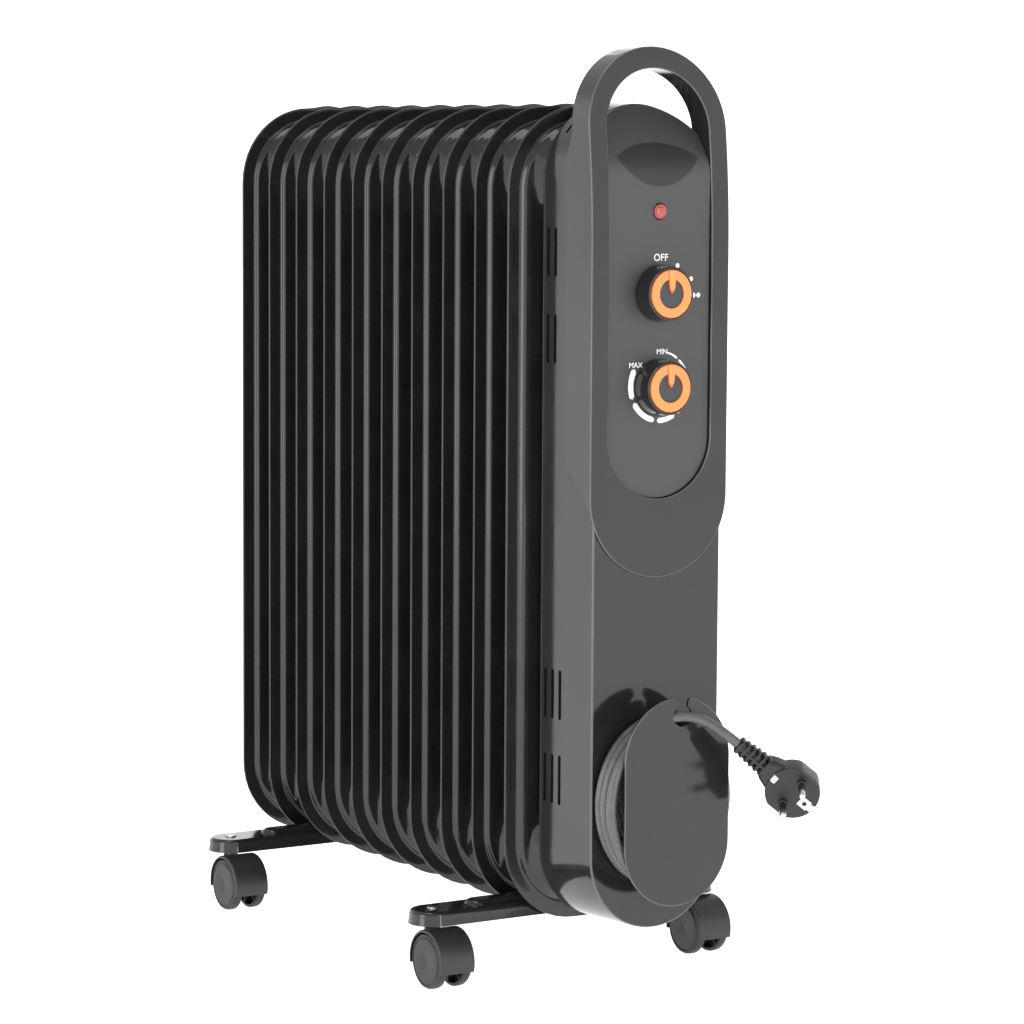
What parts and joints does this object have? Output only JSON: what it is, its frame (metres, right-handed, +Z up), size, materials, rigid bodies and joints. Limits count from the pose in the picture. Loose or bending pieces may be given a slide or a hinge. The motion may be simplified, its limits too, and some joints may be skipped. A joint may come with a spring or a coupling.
{
  "type": "oil filled radiator heater",
  "caption": "Oil filled electric radiator: welded finned heating body, front housing with loop handle and two dials, cord wound behind a storage plate, legs on twin-wheel castors.",
  "frame": {"origin": "on the floor, at the middle of the footprint of the heater without its cord", "axes": "control panel faces -Y, fins stand behind it towards +Y, +X is right seen from the front, +Z up"},
  "size_m": [0.2696, 0.5775, 0.635],
  "materials": {
    "black_enamel": "gloss black baked enamel",
    "bright_steel": "plain bright steel",
    "gloss_plastic": "polished dark grey moulding",
    "matte_plastic": "fine textured dark grey moulding",
    "dark_rubber": "smooth soft jacket",
    "orange_plastic": "satin orange moulding",
    "red_lens": "tinted lens",
    "pale_plastic": "plain switch moulding"
  },
  "bodies": {
    "heater": {"fin_01": "black_enamel", "fin_02": "black_enamel", "fin_03": "black_enamel", "fin_04": "black_enamel", "fin_05": "black_enamel", "fin_06": "black_enamel", "fin_07": "black_enamel", "fin_08": "black_enamel", "fin_09": "black_enamel", "fin_10": "black_enamel", "front_upper_header_cap": "black_enamel", "rear_lower_header_cap": "black_enamel", "oil_filler_plug": "black_enamel", "mounting_plate": "black_enamel", "front_leg": "black_enamel", "rear_leg": "black_enamel", "element_flange": "bright_steel", "heating_element": "bright_steel", "thermal_cutout": "bright_steel", "front_u_bolt": "bright_steel", "rear_u_bolt": "bright_steel", "plug_pin_1": "bright_steel", "plug_pin_2": "bright_steel", "plug_earth_contact_1": "bright_steel", "plug_earth_contact_2": "bright_steel", "front_housing": "gloss_plastic", "handle_frame": "gloss_plastic", "storage_spool": "gloss_plastic", "storage_plate": "gloss_plastic", "control_panel": "matte_plastic", "blank_inlay": "matte_plastic", "cord_coil": "dark_rubber", "cord_gland": "dark_rubber", "cord_tail": "dark_rubber", "plug_body": "dark_rubber", "indicator_lens": "red_lens", "selector_switch": "pale_plastic", "thermostat": "pale_plastic"},
    "power_dial": {"power_knob": "gloss_plastic", "power_knob_ring": "orange_plastic", "power_shaft": "bright_steel"},
    "thermostat_dial": {"thermostat_knob": "gloss_plastic", "thermostat_knob_ring": "orange_plastic", "thermostat_shaft": "bright_steel"},
    "castor_front_left": {"castor_front_left_hood": "matte_plastic", "castor_front_left_stem": "bright_steel"},
    "castor_front_left_wheel_a": {"castor_front_left_wheel_a": "matte_plastic"},
    "castor_front_left_wheel_b": {"castor_front_left_wheel_b": "matte_plastic"},
    "castor_front_right": {"castor_front_right_hood": "matte_plastic", "castor_front_right_stem": "bright_steel"},
    "castor_front_right_wheel_a": {"castor_front_right_wheel_a": "matte_plastic"},
    "castor_front_right_wheel_b": {"castor_front_right_wheel_b": "matte_plastic"},
    "castor_rear_left": {"castor_rear_left_hood": "matte_plastic", "castor_rear_left_stem": "bright_steel"},
    "castor_rear_left_wheel_a": {"castor_rear_left_wheel_a": "matte_plastic"},
    "castor_rear_left_wheel_b": {"castor_rear_left_wheel_b": "matte_plastic"},
    "castor_rear_right": {"castor_rear_right_hood": "matte_plastic", "castor_rear_right_stem": "bright_steel"},
    "castor_rear_right_wheel_a": {"castor_rear_right_wheel_a": "matte_plastic"},
    "castor_rear_right_wheel_b": {"castor_rear_right_wheel_b": "matte_plastic"}
  },
  "joints": [
    {"name": "power_dial_turn", "type": "hinge", "parent": "heater", "child": "power_dial", "pos_m": [0, -0.22703, 0.472], "axis": [0, 1, 0], "range_deg": [0, 90]},
    {"name": "thermostat_dial_turn", "type": "hinge", "parent": "heater", "child": "thermostat_dial", "pos_m": [0, -0.22703, 0.4095], "axis": [0, 1, 0], "range_deg": [0, 300]},
    {"name": "castor_front_left_swivel", "type": "hinge", "parent": "heater", "child": "castor_front_left", "pos_m": [-0.118, -0.13392, 0.045], "axis": [0, 0, 1], "continuous": true},
    {"name": "castor_front_left_wheel_a_spin", "type": "hinge", "parent": "castor_front_left", "child": "castor_front_left_wheel_a", "pos_m": [-0.118, -0.14693, 0.019], "axis": [1, 0, 0], "continuous": true},
    {"name": "castor_front_left_wheel_b_spin", "type": "hinge", "parent": "castor_front_left", "child": "castor_front_left_wheel_b", "pos_m": [-0.118, -0.14693, 0.019], "axis": [1, 0, 0], "continuous": true},
    {"name": "castor_front_right_swivel", "type": "hinge", "parent": "heater", "child": "castor_front_right", "pos_m": [0.094, -0.13392, 0.045], "axis": [0, 0, 1], "continuous": true},
    {"name": "castor_front_right_wheel_a_spin", "type": "hinge", "parent": "castor_front_right", "child": "castor_front_right_wheel_a", "pos_m": [0.094, -0.14693, 0.019], "axis": [1, 0, 0], "continuous": true},
    {"name": "castor_front_right_wheel_b_spin", "type": "hinge", "parent": "castor_front_right", "child": "castor_front_right_wheel_b", "pos_m": [0.094, -0.14693, 0.019], "axis": [1, 0, 0], "continuous": true},
    {"name": "castor_rear_left_swivel", "type": "hinge", "parent": "heater", "child": "castor_rear_left", "pos_m": [-0.118, 0.16148, 0.045], "axis": [0, 0, 1], "continuous": true},
    {"name": "castor_rear_left_wheel_a_spin", "type": "hinge", "parent": "castor_rear_left", "child": "castor_rear_left_wheel_a", "pos_m": [-0.118, 0.14847, 0.019], "axis": [1, 0, 0], "continuous": true},
    {"name": "castor_rear_left_wheel_b_spin", "type": "hinge", "parent": "castor_rear_left", "child": "castor_rear_left_wheel_b", "pos_m": [-0.118, 0.14847, 0.019], "axis": [1, 0, 0], "continuous": true},
    {"name": "castor_rear_right_swivel", "type": "hinge", "parent": "heater", "child": "castor_rear_right", "pos_m": [0.118, 0.16148, 0.045], "axis": [0, 0, 1], "continuous": true},
    {"name": "castor_rear_right_wheel_a_spin", "type": "hinge", "parent": "castor_rear_right", "child": "castor_rear_right_wheel_a", "pos_m": [0.118, 0.14847, 0.019], "axis": [1, 0, 0], "continuous": true},
    {"name": "castor_rear_right_wheel_b_spin", "type": "hinge", "parent": "castor_rear_right", "child": "castor_rear_right_wheel_b", "pos_m": [0.118, 0.14847, 0.019], "axis": [1, 0, 0], "continuous": true}
  ]
}
